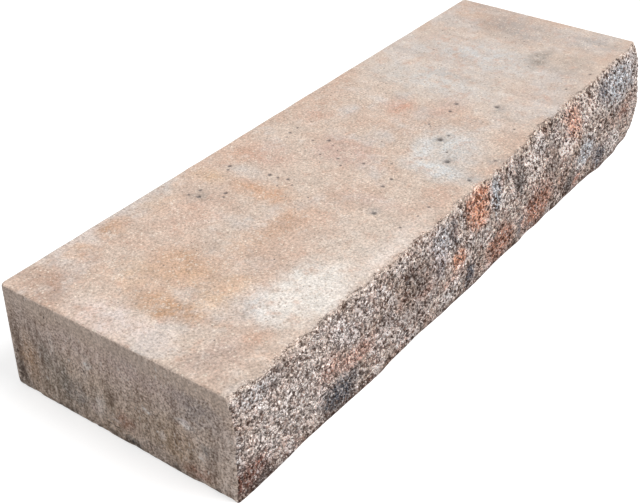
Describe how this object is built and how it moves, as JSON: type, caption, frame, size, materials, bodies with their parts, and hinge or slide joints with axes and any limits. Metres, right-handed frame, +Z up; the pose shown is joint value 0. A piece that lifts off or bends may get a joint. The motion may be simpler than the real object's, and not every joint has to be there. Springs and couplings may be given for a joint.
{
  "type": "concrete block step",
  "caption": "Long solid concrete block step with a smooth flat tread, moulded ends and back, and one rock-split front face.",
  "frame": {"origin": "on the ground, in the middle of the footprint", "axes": "+X along the step, +Z up, -Y out of the split front face"},
  "size_m": [1.219, 0.406, 0.165],
  "materials": {
    "concrete": "dry-cast concrete, mottled tan, rose and warm grey, smooth on the tread and rough on the split face"
  },
  "bodies": {
    "root": {"block_step": "concrete"}
  },
  "joints": []
}
